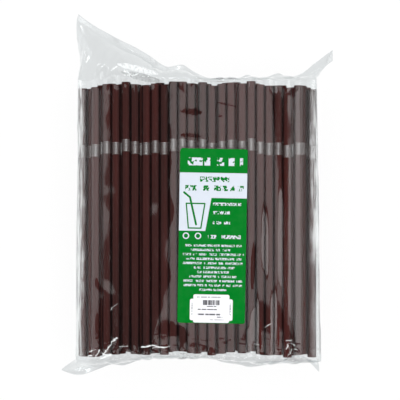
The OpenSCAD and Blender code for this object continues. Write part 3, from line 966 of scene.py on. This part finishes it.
# Painted glints: faint white lines near the feet.
faint_glints = abs(fine_wrinkles - 0.5).ramped(FAINT_WIDTH, 0.0) * streaks.ramped(0.42, 0.6)
bent_axes = [axes[0] + (fine_wrinkles - 0.5) * BEND_X, axes[1] + uneven * BEND_Y]
drawn_glints = any_of([stroke(*bent_axes, *line) for line in GLINT_LINES])
drawn_glints = drawn_glints * (scuffs.ramped(0.2, 0.6) * GLINT_MORE + GLINT_LEAST)
painted_highlight = patch(axes, uneven, *EAR_HIGHLIGHT)
painted_highlight = painted_highlight * (streaks.ramped(0.3, 0.6) * HIGHLIGHT_MORE + HIGHLIGHT_LEAST)
glints_at_feet = drawn_glints + faint_glints * near_feet * FAINT_GLINT
painted_glints = glints_at_feet * axes[2].ramped(UPPER_FROM, UPPER_FULL) + painted_highlight
scuffed = scuffs.ramped(0.45, 0.8) * SCUFF_HAZE + EVEN_HAZE
haze_sheen_and_glints = (scuffed + rim + painted_glints).clamped()
# White paint for the haze, the rims' sheen, the painted glints and the painted highlight.
haze_sheen_and_glint_paint = start.node("BsdfPrincipled", {}, {
    "Base Color": (0.92, 0.95, 0.95, 1), "Roughness": 0.4,
})
finish_with(start, haze_sheen_and_glints.blended(gloss.blended(clear, mirror), haze_sheen_and_glint_paint))
film_bag.data.materials.append(film_finish)
print("film finish nodes:", len(film_finish.node_tree.nodes))

# %% [markdown]
# The straws are dark polypropylene with a soft shine. The colour drifts a little from straw to
# straw, and faint lines run along each one from the extruder. The necks are paler and glossier,
# because bending plastic to and fro whitens it and its ridges catch the lamps, so they have a
# shader of their own. A neck is found by its normals: only its ridges, and the cut rims, lean
# along the straw.

# %% Straw finish
BROWN_LOW, BROWN_HIGH = (0.001, 0.0002, 0.0002, 1), (0.038, 0.0046, 0.0036, 1)
NECK_LOW, NECK_HIGH = (0.05, 0.03, 0.028, 1), (0.12, 0.08, 0.075, 1)
CUT_RIM = (0.10, 0.04, 0.035, 1)
SHINE_TINT = (1, 0.34, 0.3, 1)
DRIFT_SHARE = 0.65
RIDGE_FROM, RIDGE_FULL, RIM_LEAN = 0.15, 0.4, 0.95
straw_finish, start = new_finish("brown_straw_plastic")
place = position_mm(start)[0]
facing = start.node("NewGeometry", take="Normal")
leaning = abs(start.node("SeparateXYZ", {}, {"Vector": facing}, take="Y"))
ridge = leaning.ramped(RIDGE_FROM, RIDGE_FULL)
cut_rim = leaning > RIM_LEAN
drift = start.noise(place.scaled((0.07, 0.004, 0.07)), scale=1.0, rough=0.6)
lines = start.noise(place.scaled((3.5, 0.02, 3.5)), scale=1.0, detail=3.0, rough=0.7)
tint = drift.ramped(0.3, 0.7) * DRIFT_SHARE + lines.ramped(0.3, 0.7) * (1 - DRIFT_SHARE)
tube_colour = cut_rim.colour(tint.colour(BROWN_LOW, BROWN_HIGH), CUT_RIM)
fine_bump = start.node("Bump", {}, {"Strength": 0.15, "Distance": 0.0002, "Height": lines})
tube_shader = start.node("BsdfPrincipled", {}, {
    "Base Color": tube_colour, "Roughness": lines * 0.1 + 0.3, "Normal": fine_bump,
    "IOR": 1.38, "Specular Tint": SHINE_TINT,
})
neck_shader = start.node("BsdfPrincipled", {}, {
    "Base Color": lines.colour(NECK_LOW, NECK_HIGH), "Roughness": lines * 0.1 + 0.18,
    "Normal": fine_bump, "IOR": 2.3,
})
finish_with(start, ridge.blended(tube_shader, neck_shader))


def refinish(name, material):
    """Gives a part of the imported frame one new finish."""
    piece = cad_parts[name]
    piece.data.materials.clear()
    piece.data.materials.append(material)


for name in straw_names:
    refinish(name, straw_finish)
print("straws finished:", len(straw_names))

# %% [markdown]
# The print is made of plain fields, bars and a simple picture of a glass, as formulas on the
# label's own millimetres: across from its middle, and down from its top edge. Bars that are
# broken at uneven places, by noise above a limit, stand in for lines of print.

# %% Print helpers
LABEL_TURN = math.radians(-1)
GAP_LIMIT, FLECK_LIMIT = 0.42, 0.47


def own_axes(start, middle, turn, top):
    """Millimetres across from a flat piece's middle, and down from its top edge."""
    place, axes = position_mm(start)
    x, y = axes[0] - middle[0], axes[1] - middle[1]
    cosine, sine = math.cos(turn), math.sin(turn)
    return place, x * cosine + y * sine, top - (y * cosine - x * sine)


def between(value, low, high):
    """1 where a value lies between two limits."""
    return (value > low) * (value < high)


def block(right, down, left_edge, right_edge, top, bottom):
    """1 inside an upright rectangle."""
    return between(right, left_edge, right_edge) * between(down, top, bottom)


def words(right, down, seed, length):
    """Gaps that break a bar into uneven pieces, about as long as words."""
    gaps = right.node("CombineXYZ", {}, {"X": right / length, "Y": down * 0 + seed})
    return right.noise(gaps, scale=1.0, detail=1.0) > GAP_LIMIT


def flecks(right, down, seed, size):
    """Small uneven marks that look like print from afar, though none of them is a letter."""
    place = right.node("CombineXYZ", {}, {
        "X": right / size, "Y": down / size * 0.8, "Z": right * 0 + seed,
    })
    return right.noise(place, scale=1.0, detail=1.0) > FLECK_LIMIT


print("label turn in degrees:", round(math.degrees(LABEL_TURN)))

# %% [markdown]
# The label is green with a white band across it and a white field below, whose right edge slants.
# A mask says which of the two colours each place has. White bars lie on the green and green ones
# on the white, so the same kind of mark serves both.

# %% Fields and bars of the label
LABEL_LENGTH = 155
BAND_TOP, FIELD_TOP, FIELD_FOOT = 21.4, 43.7, 73.1
FIELD_SLOPE, FIELD_CORNER = 0.17, -1.5
OVERLAP = 0.1
BAR_HEIGHT = 2.6
label_finish, start = new_finish("printed_label_finish")
label_middle = (label_low[:2] + label_high[:2]) / 2
place, right, down = own_axes(start, label_middle, LABEL_TURN, LABEL_LENGTH / 2)
white_band = between(down, BAND_TOP, FIELD_TOP)
slanted_edge = (FIELD_TOP - down) * FIELD_SLOPE + FIELD_CORNER
white_field = between(down, FIELD_TOP - OVERLAP, FIELD_FOOT) * (right < slanted_edge)

heading = block(right, down, -25, -3, 8, 15) + block(right, down, 3, 26, 8, 15)
side_ends = ((25, 47.8), (15, 55.4), (15.5, 64.4))
side_bars = [block(right, down, 0, end, top, top + BAR_HEIGHT) for end, top in side_ends]
count_bar = block(right, down, -4, 25, 76.6, 79.8)
band_bars = [block(right, down, -12, 14, 24.8, 29.4), block(right, down, -25, 27, 32.6, 37.4)]
print("bars beside the glass:", len(side_bars))

# %% [markdown]
# Two plain rings stand below the field, and the rows of small print follow. One formula makes all
# the rows: the place down the label, divided by the distance of two rows, gives the row's number
# and the place in it. A colour ramp with sharp stops looks up how long each row is.

# %% Rings and small print
RING_MIDDLES, RING_INSIDE, RING_OUTSIDE = ((-23.6, 77.6), (-12.9, 77.6)), 1.9, 2.9
TEXT_TOP, TEXT_PITCH = 84.2, 3.93
ROW_TOP, ROW_FOOT = 0.22, 0.72
LONGEST_HALF = 30
half_lengths = [25, 20, 27, 25, 27, 19, 14, 21, 26, 26, 12]
rings_printed = []
for ring_x, ring_y in RING_MIDDLES:
    far = (right - ring_x) * (right - ring_x) + (down - ring_y) * (down - ring_y)
    rings_printed.append(between(far, RING_INSIDE ** 2, RING_OUTSIDE ** 2))

row_count = (down - TEXT_TOP) / TEXT_PITCH
row_number = start.math("FLOOR", row_count)
row_place = row_count - row_number
stops = [(k / len(half_lengths), half / LONGEST_HALF) for k, half in enumerate(half_lengths)]
half_length = start.node("ValToRGB", {"interpolation": "CONSTANT", "stops": stops}, {
    "Fac": (row_number + 0.5) / len(half_lengths),
}) * LONGEST_HALF
in_rows = between(row_number, -0.5, len(half_lengths) - 0.5)
in_rows = in_rows * between(row_place, ROW_TOP, ROW_FOOT)
small_print = in_rows * (abs(right - 1) < half_length)
small_print = small_print * words(right, down, row_number * 3.7, 3.2)
small_print = small_print * flecks(right, down, 4.2, 0.9)
print("rows of small print:", len(half_lengths))

# %% [markdown]
# The picture in the white field is a glass with a bendy straw, drawn with a few lines. Then the
# masks come together: a place is white where it lies in a white field and not in a green mark, or
# in the green and in a white mark. A trace of green-grey wear and a faint bump make it paper.

# %% Label finish
GREEN, PAPER, WORN = (0, 0.158, 0.0135, 1), (0.57, 0.61, 0.68, 1), (0.2, 0.35, 0.25, 1)
GLASS = ((-23.8, 48.8), (-7.3, 48.8), (-10.5, 70.7), (-21.6, 70.7))
GLASS_STRAW = ((-25.9, 39.1), (-20.6, 43.3), (-14.8, 67.4))
GLASS_LINE, STRAW_LINE = 1.2, 1.8
WEAR = 0.03
glass = [stroke(right, down, GLASS[k - 1], GLASS[k], GLASS_LINE) for k in range(4)]
glass_straw = [stroke(right, down, GLASS_STRAW[k], GLASS_STRAW[k + 1], STRAW_LINE) for k in range(2)]
white_marks = any_of([
    heading * words(right, down, 2.3, 5) * flecks(right, down, 8.1, 3.1),
    side_bars[0] * flecks(right, down, 5.1, 1.3),
    side_bars[1] * flecks(right, down, 6.4, 1.3),
    side_bars[2] * flecks(right, down, 9.9, 1.3) * words(right, down, 3.9, 3.4),
    count_bar * words(right, down, 7.7, 4.2) * flecks(right, down, 2.8, 1.4),
    small_print,
] + rings_printed)
green_marks = any_of(glass + glass_straw + [
    band_bars[0] * flecks(right, down, 1.9, 1.7),
    band_bars[1] * words(right, down, 8.2, 5) * flecks(right, down, 7.3, 1.7),
])
white = any_of([white_band, white_field])
show_white = any_of([white * (1 - green_marks), (1 - white) * white_marks])
mottle = start.noise(place.scaled((0.15, 0.15, 0.15)), scale=1.0, detail=3.0, rough=0.6)
printed = show_white.colour(GREEN, PAPER)
sheet_bump = start.node("Bump", {}, {"Strength": 0.2, "Distance": 0.0004, "Height": mottle})
finish_with(start, start.node("BsdfPrincipled", {}, {
    "Base Color": (mottle.ramped(0.3, 0.8) * WEAR).colour(printed, WORN),
    "Roughness": mottle * 0.1 + 0.45, "Normal": sheet_bump, "Specular IOR Level": 0.02,
}))
refinish("printed_label", label_finish)
print("label finish nodes:", len(label_finish.node_tree.nodes))

# %% [markdown]
# The stickers are white paper. The upper one carries a few thin grey bars and a block of upright
# bars, and the lower one shows only the edge of such a block at each side. One function makes
# both finishes. It is given another function, which says where that sticker's bars are.

# %% Sticker finishes
STICKER, STICKER_GRAIN = (0.8, 0.8, 0.83, 1), (0.74, 0.74, 0.77, 1)
INK = (0.12, 0.12, 0.13, 1)
PALE_INK = (0.4, 0.4, 0.42, 1)


def sticker_finish(name, lines_of):
    """Gives a sticker its paper, and the dark and pale bars that lines_of places on it."""
    finish, start = new_finish(name + "_finish")
    low, high = [np.array(corner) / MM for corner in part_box(name)]
    middle = (low[:2] + high[:2]) / 2
    place, right, down = own_axes(start, middle, LABEL_TURN, (high - low)[1] / 2)
    dark, pale = lines_of(right, down)
    grain = start.noise(place, scale=1.4, detail=3.0, rough=0.7)
    shade = pale.colour(dark.colour(grain.colour(STICKER, STICKER_GRAIN), INK), PALE_INK)
    bump = start.node("Bump", {}, {"Strength": 0.15, "Distance": 0.0002, "Height": grain})
    finish_with(start, start.node("BsdfPrincipled", {}, {
        "Base Color": shade, "Roughness": grain * 0.1 + 0.45, "Normal": bump, "Specular IOR Level": 0.02,
    }))
    refinish(name, finish)


def upper_lines(right, down):
    """The dark and the pale bars of the upper sticker."""
    stripes = block(right, down, -7.5, 7.5, 5.2, 9.6) * words(right, down, 3.3, 0.55)
    number = block(right, down, -4, 4.5, 10.4, 11.2) * words(right, down, 6.1, 1.2)
    left_lines = [
        block(right, down, -12.5, 5, 13.0, 14.0) * words(right, down, 1.1, 1.6),
        block(right, down, -12.5, 8, 17.2, 18.6) * words(right, down, 4.1, 1.6),
        block(right, down, 5, 10, 19.8, 20.6) * words(right, down, 8.8, 1.2),
    ]
    top_line = block(right, down, -13, 8.5, 2.0, 3.3) * words(right, down, 2.2, 2.0)
    foot_line = block(right, down, -2.5, 11.5, 22.2, 23.0) * words(right, down, 7.4, 1.4)
    return any_of([stripes, number] + left_lines), any_of([top_line, foot_line])


def lower_lines(right, down):
    """The bars at the two ends of the lower sticker, which the upper one leaves free."""
    edges = between(abs(right), 16.8, 17.4) * between(down, 4, 16)
    return edges * words(down, right, 2.7, 1.3), block(right, down, 15.8, 16.4, 5, 14)


sticker_finish("upper_sticker", upper_lines)
sticker_finish("lower_sticker", lower_lines)
print("stickers finished")
